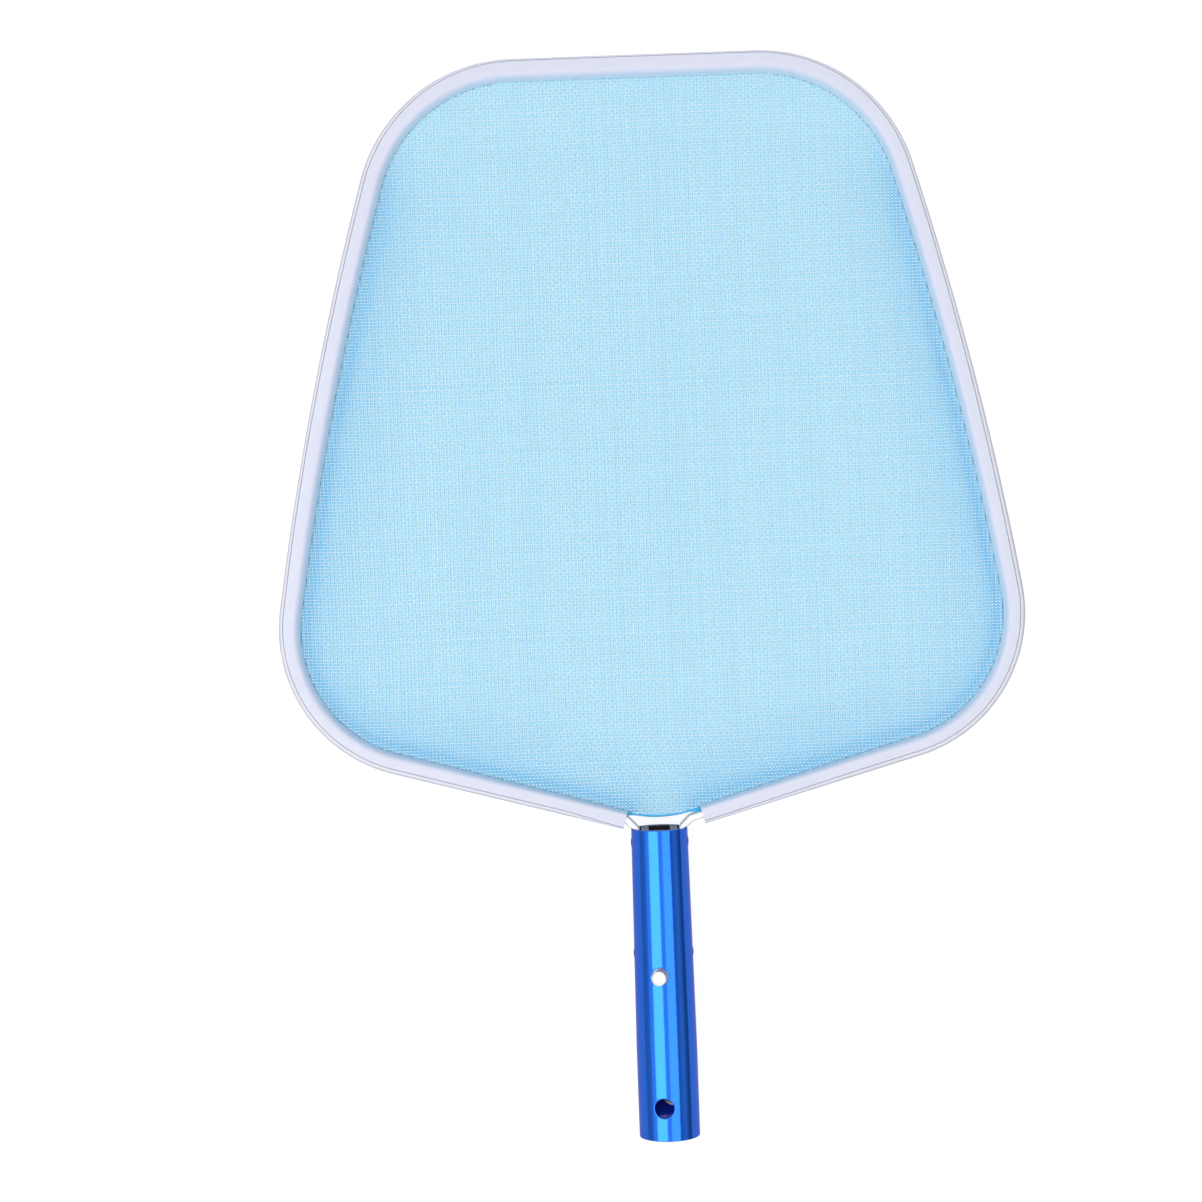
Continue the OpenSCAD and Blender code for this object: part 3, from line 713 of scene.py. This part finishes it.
def crossings(outline, axis, value):
    # Where the outline crosses the line axis = value, as the other coordinate
    other, found = 1 - axis, []
    for a, b in zip(outline, outline[1:] + outline[:1]):
        if (a[axis] - value) * (b[axis] - value) < 0:
            t = (value - a[axis]) / (b[axis] - a[axis])
            found.append(a[other] + (b[other] - a[other]) * t)
    return (min(found), max(found)) if len(found) >= 2 else None


def searchTree(line):
    # Finds the nearest spot of a line, with two more points on each stretch
    found = kdtree.KDTree(len(line) * 3)
    for i, (a, b) in enumerate(zip(line, line[1:])):
        for k in range(3):
            found.insert((*a.lerp(b, k / 3), 0), i * 3 + k)
    found.balance()
    return found


rows = net["rows"]
lipLow, lipHigh = min(p.y for p in lipOutline), max(p.y for p in lipOutline)
widthTable = [crossings(lipOutline, 1, lipLow + (lipHigh - lipLow) * (i + 0.5) / rows)[1]
              for i in range(rows)]
lipTree = searchTree(lipOutline + lipOutline[:1])
rimTree = searchTree([Vector((x, y)) for along, x, y in sorted(lipLine)])


def sagAt(x, y):
    t = (y - lipLow) / (lipHigh - lipLow)
    if not 0 < t < 1:
        return 0.0
    place = min(rows - 1, max(0, t * rows - 0.5))
    i = int(place)
    w = widthTable[i] + (widthTable[min(i + 1, rows - 1)] - widthTable[i]) * (place - i)
    if abs(x) >= w:
        return 0.0
    return -net["sag"] * ((1 - (x / w) ** 2) * (1 - (2 * t - 1) ** 2)) ** net["sagShape"]


def threadStops(low, high):
    ends = [e for e in net["ends"] if e < (high - low) / 3]
    first, last = low + ends[-1], high - ends[-1]
    middle = [first + (last - first) * i / net["segments"] for i in range(1, net["segments"])]
    return [low + e for e in ends] + middle + [high - e for e in reversed(ends)]


def leanAt(y):
    return net["lean"] * ease((net["leanFrom"] - y) / net["leanRun"])


def warpEnds(x):
    ends = crossings(netOutline, 0, x)
    for i in range(3):
        leaned = crossings(netOutline, 0, x + leanAt(ends[0])) if ends else None
        ends = (leaned[0], ends[1]) if leaned else ends
    return ends


rng = random.Random(net["seed"])
noise.seed_set(net["seed"])              # left alone, this noise starts from the clock
threadPoints, threadEdges = [], []
threadValues = {"tone": [], "crossing": [], "paintedRimShade": []}
xs = [p.x for p in netOutline]
ys = [p.y for p in netOutline]
layers = (
    (0, net["warpPitch"], min(xs), max(xs), min(ys), max(ys), net["lift"]),
    (1, net["weftPitch"], min(ys), max(ys), min(xs), max(xs), -net["lift"]))
counts = [int((high - low) / pitch) for axis, pitch, low, high, start, end, lift in layers]
for axis, pitch, low, high, start, end, lift in layers:
    count, others = counts[axis], counts[1 - axis]
    for i in range(count):
        value = low + (high - low) * (i + 0.5) / count
        ends = warpEnds(value) if axis == 0 else crossings(netOutline, 1, value)
        if ends is None or ends[1] - ends[0] < net["shortest"]:
            continue
        first = len(threadPoints)
        own = rng.random()
        bow = rng.gauss(0, net["uneven"])
        for s in threadStops(*ends):
            x, y = (value + leanAt(s), s) if axis == 0 else (s, value)
            away = lipTree.find((x, y, 0))[2]
            toEnd = min(abs(s - ends[0]), abs(s - ends[1]))
            loose = ease((toEnd - net["gripped"]) / net["loose"]) * ease(away / net["loose"])
            wander = noise.noise_vector(Vector((x, y, 7.0)) / net["driftSize"]) * net["drift"] * loose
            side = bow * loose
            x, y = x + wander.x + (side if axis == 0 else 0), y + wander.y + (side if axis == 1 else 0)
            threadPoints.append((x, y, sagAt(x, y) + lift))
            threadValues["tone"].append(own)
            threadValues["crossing"].append((s - start) / (end - start) * others - 0.5 + i + axis)
            shade = valueAt(net["paintedRimShadeTable"], rimTree.find((x, y, 0))[2])
            threadValues["paintedRimShade"].append(shade * (1 - ease((y - net["shadeFrom"]) / net["shadeRun"])))
        threadEdges += [(k, k + 1) for k in range(first, len(threadPoints) - 1)]
netThreads = addObject("netThreads", threadPoints, threadEdges, values=threadValues)
w, t = net["threadWidth"] / 2, net["threadThick"] / 2
threadSection = addPolyline("threadSection", [
    (w, 0, 0), (w * 0.5, t, 0), (-w * 0.5, t, 0), (-w, 0, 0), (-w * 0.5, -t, 0), (w * 0.5, -t, 0)], True)
settle(netThreads, sweepTree, {"Section": threadSection, "Close Ends": True, "Material": netThread})
bpy.data.objects.remove(threadSection)
fit(netThreads, "net")
print("net is woven:", len(netThreads.data.polygons), "faces")

hem = {
    "out": -2.65, "in": -3.6, "high": 1.5,
    # Where the tape laps the bar at the neck, left and right: start, end and growing length in x
    "gusset": 0.98, "laps": ((-19.0, -12.6, 2.5), (14.6, 24.5, 4.0)), "lapEnd": 2.5, "neckEnd": 200,
    # The height lays the stitches just above the tape
    "stitch": {"Pitch": 2.4, "Stitch Length": 1.7, "Stitch Width": 0.34, "Height": 0.77},
}
hemMiddle, hemHalf = (hem["out"] + hem["in"]) / 2, (hem["out"] - hem["in"]) / 2
hemSection = [(hemMiddle + hemHalf * c, hem["high"] / 2 * s, max(0.0, c))
              for c, s in map(toward, range(0, 360, 20))]
hemShifts = []
for p, a in edgeStations:
    lapped = sum(ease((p.x - low) / run) * ease((high - p.x) / hem["lapEnd"])
                 for low, high, run in hem["laps"])
    hemShifts.append(hem["gusset"] * lapped if p.y < hem["neckEnd"] else 0.0)
netHem = sweep("netHem", edgeStations, hemSection, hemTape, closed=True, shifts=hemShifts)
fit(netHem, "net_hem", 60)

# Lays short stitches along a path, at a pitch, on top of the tape
stitchTree, given = newTree("hemStitches", {**dict.fromkeys(hem["stitch"], "Float"), "Material": "Material"})
seam = addNode(stitchTree, "GeometryNodeMeshToCurve", {0: given["Geometry"]})
spots = addNode(stitchTree, "GeometryNodeCurveToPoints", {
    "Curve": seam, "Length": given["Pitch"]}, mode="LENGTH")
ball = addNode(stitchTree, "GeometryNodeMeshUVSphere", {"Segments": 8, "Rings": 5, "Radius": 0.5})
stitchSize = addNode(stitchTree, "ShaderNodeCombineXYZ", {
    "X": given["Stitch Length"], "Y": given["Stitch Width"], "Z": given["Stitch Width"]})
stitch = addNode(stitchTree, "GeometryNodeTransform", {"Geometry": ball, "Scale": stitchSize})
laidAlong = addNode(stitchTree, "FunctionNodeAlignRotationToVector", {
    "Vector": spots.outputs["Tangent"]}, axis="X")
sewn = addNode(stitchTree, "GeometryNodeInstanceOnPoints", {
    "Points": spots, "Instance": stitch, "Rotation": laidAlong})
raised = addNode(stitchTree, "ShaderNodeCombineXYZ", {"Z": given["Height"]})
lifted = addNode(stitchTree, "GeometryNodeTransform", {"Geometry": sewn, "Translation": raised})
closeTree(stitchTree, lifted, given["Material"])
hemStitches = addPolyline("hemStitches", [(p.x, p.y, 0) for p in beside(edgeStations, hemMiddle)], True)
settle(hemStitches, stitchTree, {**{k: v * mm for k, v in hem["stitch"].items()}, "Material": sewingThread})
fit(hemStitches, "net_hem")

# The line of holes and the clip are turned a little about the tube's axis
holeAngle = math.radians(tube["holeTurn"])
facing = Vector((-math.sin(holeAngle), 0, math.cos(holeAngle)))
acrossHoles = Vector((math.cos(holeAngle), 0, math.sin(holeAngle)))
alongTube = Vector((0, 1, 0))


def tubeRadius(y):
    drawn = max(0.0, (y - tube["spigot"]) / (tube["length"] - tube["spigot"]))
    return tube["spigotRadius"] + (tube["neckRadius"] - tube["spigotRadius"]) * drawn


def bridge(mesh, loops, gaps=()):
    # Faces between neighbouring loops, all the way round
    for r, (a, b) in enumerate(zip(loops, loops[1:])):
        for c in range(len(a)):
            d = (c + 1) % len(a)
            if (r, c) not in gaps:
                mesh.faces.new((a[c], a[d], b[d], b[c]))


def tubeMesh():
    # Both walls on one grid, whose squares around each hole give way to rings
    columns, patch, rounded, hold = tube["columns"], tube["patch"], tube["lipRound"], tube["hold"]
    span = 2 * patch
    stops = [rounded, rounded + hold]
    starts = []
    for place, radius, reach in tube["holes"]:
        gap = place - reach - stops[-1]
        steps = max(2, round(gap / tube["rowStep"]))
        stops += [stops[-1] + gap * i / steps for i in range(1, steps)]
        starts.append(len(stops))
        stops += [place - reach + 2 * reach * i / span for i in range(span + 1)]
    gap = tube["length"] - rounded - hold - stops[-1]
    stops += [stops[-1] + gap * i / tube["mouthRows"] for i in range(1, tube["mouthRows"] + 1)]
    stops.append(tube["length"] - rounded)
    mesh = bmesh.new()
    bore = mesh.verts.layers.float.new("bore")
    cut = mesh.verts.layers.float.new("cut")

    def addVertex(point, inBore=0.0, isCut=0.0):
        vertex = mesh.verts.new(Vector(point) * mm)
        vertex[bore], vertex[cut] = inBore, isCut
        return vertex

    def ring(radius, y, inBore=0.0):
        turns = [math.radians(360 * i / columns) for i in range(columns)]
        return [addVertex(radius * (math.cos(a) * acrossHoles + math.sin(a) * facing) + y * alongTube, inBore)
                for a in turns]

    walls = []
    for inBore, depth in ((0.0, 0.0), (1.0, tube["wall"])):
        walls.append([ring(tubeRadius(y) - depth, y, inBore) for y in stops])
    front, rear = (columns // 4, facing, -acrossHoles), (3 * columns // 4, -facing, acrossHoles)
    patches = {(start + r, centre - patch + c) for start in starts
               for centre, outwards, sideways in (front, rear) for r in range(span) for c in range(span)}
    for rows in walls:
        bridge(mesh, rows, patches)
    for row, y, sign in ((0, 0.0, 1), (-1, tube["length"], -1)):
        outer, inner, middle = tubeRadius(y), tubeRadius(y) - tube["wall"], tube["lipMiddle"]
        bridge(mesh, [walls[0][row], ring(outer - middle, y + sign * middle), ring(outer - rounded, y),
                      ring(inner + rounded, y), ring(inner + middle, y + sign * middle), walls[1][row]])
    for (place, radius, reach), start in zip(tube["holes"], starts):
        for centre, outwards, sideways in (front, rear):
            low, high = centre - patch, centre + patch
            frameIds = ([(start, c) for c in range(low, high)]
                        + [(start + r, high) for r in range(span)]
                        + [(start + span, c) for c in range(high, low, -1)]
                        + [(start + span - r, low) for r in range(span)])
            brinks = []
            for rows, depth, sink, broken in (
                    (walls[0], 0.0, 1, tube["holeRound"]), (walls[1], tube["wall"], -1, tube["boreRound"])):
                border = [rows[r][c] for r, c in frameIds]
                rings = [border]
                # Share of the way to the border, distance from the hole's edge, depth, and bare metal or not
                for share, size, sunk, isCut in (
                        (tube["patchRing"], 0, 0, 0), (0, broken + hold, 0, 0), (0, broken, 0, 0),
                        (0, broken * 0.3, broken * 0.3, 0), (0, 0, broken, 1)):
                    loop = []
                    for vertex in border:
                        u = vertex.co.dot(sideways) / mm
                        v = vertex.co.y / mm - place
                        far, near = math.hypot(u, v), radius + size
                        r = near + (far - near) * share
                        u, v = u / far * r, v / far * r
                        w = math.sqrt((tubeRadius(place + v) - depth) ** 2 - u * u) - sink * sunk
                        loop.append(addVertex(u * sideways + (place + v) * alongTube + w * outwards,
                                              0.0 if depth == 0 or isCut else 1.0, isCut))
                    rings.append(loop)
                brinks.append(rings)
            for loops in (*brinks, (brinks[0][-1], brinks[1][-1])):
                bridge(mesh, loops)
    bmesh.ops.delete(mesh, geom=[v for v in mesh.verts if not v.link_faces], context="VERTS")
    bmesh.ops.recalc_face_normals(mesh, faces=mesh.faces)
    return mesh


handleTube = addObject("handleTube", [])
mesh = tubeMesh()
mesh.to_mesh(handleTube.data)
mesh.free()
handleTube.data.materials.append(anodised)
fit(handleTube, "handle_tube")
print("tube is drawn:", len(handleTube.data.polygons), "faces")


def ringFaces(turns, rows, first=0, closed=False):
    # Faces between rows of points, each row a ring
    faces = []
    for k in range(rows if closed else rows - 1):
        here, there = first + k * turns, first + (k + 1) % rows * turns
        faces += [(here + i, here + (i + 1) % turns, there + (i + 1) % turns, there + i)
                  for i in range(turns)]
    return faces


plug = {"length": 25, "side": 8.5, "slotSide": 4.9, "slotHigh": 9.4, "round": 0.3, "steps": 24}


def plugMesh():
    # One closed ring of faces: the outside, the end faces and the slot, with broken edges
    t = plug
    corner = math.atan2(math.sqrt(rim["seat"] ** 2 - t["side"] ** 2), t["side"])
    slotCorner = math.atan2(t["slotHigh"], t["slotSide"])
    quarter = sorted([0.0, corner, slotCorner, math.pi / 2] + [
        math.pi / 2 * i / t["steps"] for i in range(1, t["steps"])])
    turns = quarter[:-1] + [math.pi - a for a in reversed(quarter[1:])]
    turns += [a + math.pi for a in turns]
    front, back, edge = tube["length"], tube["length"] - t["length"], t["round"]

    def wallAt(distance, slant):
        return distance / max(abs(slant), 1e-9)

    def outside(a, inset):
        return min(rim["seat"], wallAt(t["side"], math.cos(a))) - inset

    def slot(a, inset):
        return min(wallAt(t["slotSide"], math.cos(a)), wallAt(t["slotHigh"], math.sin(a))) + inset

    middle = edge * 0.3
    # What the row lies on, its inset, its place along the tube, and how dark the painted shade in the slot is
    # there
    rows = [(outside, 0, back + edge, 0), (outside, 0, front - edge, 0),
            (outside, middle, front - middle, 0), (outside, edge, front, 0),
            (slot, edge, front, 0), (slot, middle, front - middle, 0.3),
            (slot, 0, front - edge, 1), (slot, 0, back + edge, 1),
            (slot, edge, back, 0), (outside, edge, back, 0)]
    points = [(shape(a, inset) * math.cos(a), y, shape(a, inset) * math.sin(a))
              for shape, inset, y, paintedSlotShade in rows for a in turns]
    return points, ringFaces(len(turns), len(rows), closed=True), [row[3] for row in rows for a in turns]


plugPoints, plugFaces, paintedSlotShades = plugMesh()
neckPlug = addObject("neckPlug", plugPoints, faces=plugFaces, values={"paintedSlotShade": paintedSlotShades})
neckPlug.data.materials.append(castPlug)
faceOutward(neckPlug)
fit(neckPlug, "neck_plug", 35)

rivet = {
    "places": ((138.5, 4.9), (86.4, 9.1)),   # along the tube, and how far from its axis the tail ends
    "sizes": {"Head Width": 4.4, "Head Height": 0.27, "Shank Width": 2.4,
              "Tail Width": 4.0, "Tail Height": 0.9},
    "sunk": 0.03,
}

# Sets a blind rivet on each point: head on the point, shank inwards by "reach", closed tail at its end
rivetTree, given = newTree("blindRivets", {**dict.fromkeys(rivet["sizes"], "Float"), "Material": "Material"})
outward, reach = carried(rivetTree, outward="FLOAT_VECTOR", reach="FLOAT")
upright = addNode(rivetTree, "FunctionNodeAlignRotationToVector", {"Vector": outward}, axis="Z")
dome = addNode(rivetTree, "GeometryNodeMeshUVSphere", {"Segments": 32, "Rings": 16, "Radius": 0.5})
rod = addNode(rivetTree, "GeometryNodeMeshCylinder", {"Vertices": 24, "Radius": 0.5, "Depth": 1.0})
headTall = addNode(rivetTree, "ShaderNodeMath", {0: given["Head Height"], 1: 2.0}, operation="MULTIPLY")
riveted = addNode(rivetTree, "GeometryNodeJoinGeometry")
for shape, width, height, inwards in (
        (dome, given["Head Width"], headTall, 0.0), (dome, given["Tail Width"], given["Tail Height"], -1.0),
        (rod, given["Shank Width"], reach, -0.5)):
    depth = addNode(rivetTree, "ShaderNodeMath", {0: reach, 1: inwards}, operation="MULTIPLY")
    offset = addNode(rivetTree, "ShaderNodeVectorMath", {0: outward, "Scale": depth}, operation="SCALE")
    spots = addNode(rivetTree, "GeometryNodeSetPosition", {0: given["Geometry"], "Offset": offset})
    size = addNode(rivetTree, "ShaderNodeCombineXYZ", {"X": width, "Y": width, "Z": height})
    feed(riveted, {0: addNode(rivetTree, "GeometryNodeInstanceOnPoints", {
        "Points": spots, "Instance": shape, "Rotation": upright, "Scale": size})})
closeTree(rivetTree, riveted, given["Material"])
rivetPoints, rivetValues = [], {"reach": [], "outward": []}
for y, tail in rivet["places"]:
    for side in (-1, 1):
        seat = tubeRadius(y) - rivet["sunk"]
        rivetPoints.append((side * seat, y, 0))
        rivetValues["reach"].append((seat - tail + rivet["sizes"]["Tail Height"] / 2) * mm)
        rivetValues["outward"].append((side, 0, 0))
blindRivets = addPolyline("blindRivets", rivetPoints, False, rivetValues)
settle(blindRivets, rivetTree, {**{k: v * mm for k, v in rivet["sizes"].items()}, "Material": rivetBlue})
fit(blindRivets, "rivets", 50)

button = {
    "place": 76.95, "pad": 11.93, "strip": 0.8, "shoulder": 14.19, "crown": 17.39, "domeHigh": 1.2,
    "free": 3.45, "shank": 3.2, "tail": 1.5, "tailEnd": 2.4, "tailEndHigh": 0.8, "round": 0.18, "steps": 48,
    "domeRings": 8, "domeEdge": 0.9,         # rings of the dome, and the share where its rounded edge starts
}


def softened(outline, size):
    # Rounds each inner corner of an open outline with a short curve
    points = [outline[0]]
    for a, p, b in zip(outline, outline[1:], outline[2:]):
        start = p + (a - p).normalized() * min(size, (a - p).length * 0.45)
        end = p + (b - p).normalized() * min(size, (b - p).length * 0.45)
        points += [start * (1 - t) ** 2 + p * 2 * t * (1 - t) + end * t ** 2 for t in (0, 0.33, 0.67, 1)]
    return points + [outline[-1]]


def turnedButton(name, out, sideways):
    b = button
    inside, top = b["pad"] - b["strip"], b["crown"] + b["domeHigh"]
    domeRadius = (b["free"] ** 2 + b["domeHigh"] ** 2) / (2 * b["domeHigh"])
    domeTurn = math.asin(b["free"] / domeRadius)

    def domeAt(share):
        a = domeTurn * share
        return Vector((domeRadius * math.sin(a), top - domeRadius * (1 - math.cos(a))))

    corners = (
        (0, inside - b["tailEndHigh"]), (b["tailEnd"], inside - b["tailEndHigh"]), (b["tailEnd"], inside),
        (b["tail"], inside), (b["tail"], b["pad"]), (b["shank"], b["pad"]), (b["shank"], b["shoulder"]),
        (b["free"], b["shoulder"]), (b["free"], b["crown"]))
    outline = softened([Vector(c) for c in corners] + [domeAt(b["domeEdge"])], b["round"])
    outline += [domeAt(k / b["domeRings"]) for k in range(b["domeRings"] - 1, 0, -1)]
    points = [tuple(out * outline[0].y + alongTube * b["place"])]
    for r, h in outline[1:]:
        for i in range(b["steps"]):
            a = 2 * math.pi * i / b["steps"]
            flat = sideways * r * math.cos(a) + alongTube * (b["place"] + r * math.sin(a))
            points.append(tuple(flat + out * h))
    points.append(tuple(out * top + alongTube * b["place"]))
    n, rings, last = b["steps"], len(outline) - 1, len(points) - 1
    faces = [(0, 1 + (i + 1) % n, 1 + i) for i in range(n)] + ringFaces(n, rings, first=1)
    faces += [(last, last - n + i, last - n + (i + 1) % n) for i in range(n)]
    obj = addObject(name, points, faces=faces)
    obj.data.materials.append(nickelPlate)
    faceOutward(obj)
    return obj


fit(turnedButton("frontButton", facing, acrossHoles), "button_front", 50, "front_arm")
fit(turnedButton("rearButton", -facing, -acrossHoles), "button_rear", 50, "rear_arm")

clip = {
    "edge": 0.12, "merge": 0.002,            # mm
    "pieces": (("clipBend", "clip_bend", "root"), ("frontArm", "clip_arm_front", "front_arm"),
               ("rearArm", "clip_arm_rear", "rear_arm")),
}


def brokenEdges(name, node):
    # A merged copy of the drawing's solid, with its sharp edges broken as in use
    mesh = bmesh.new()
    mesh.from_mesh(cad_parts[node].data)
    bmesh.ops.remove_doubles(mesh, verts=mesh.verts, dist=clip["merge"] * mm)
    bmesh.ops.dissolve_limit(mesh, angle_limit=math.radians(1), verts=mesh.verts, edges=mesh.edges)
    obj = addObject(name, [])
    mesh.to_mesh(obj.data)
    mesh.free()
    bevel = obj.modifiers.new("edges", "BEVEL")
    bevel.width, bevel.segments = clip["edge"] * mm, 2
    bevel.limit_method, bevel.angle_limit = "ANGLE", math.radians(35)
    settle(obj)
    obj.data.materials.clear()
    obj.data.materials.append(springSteel)
    return obj


for name, node, body in clip["pieces"]:
    fit(brokenEdges(name, node), node, 35, body)
print("metal parts are finished")
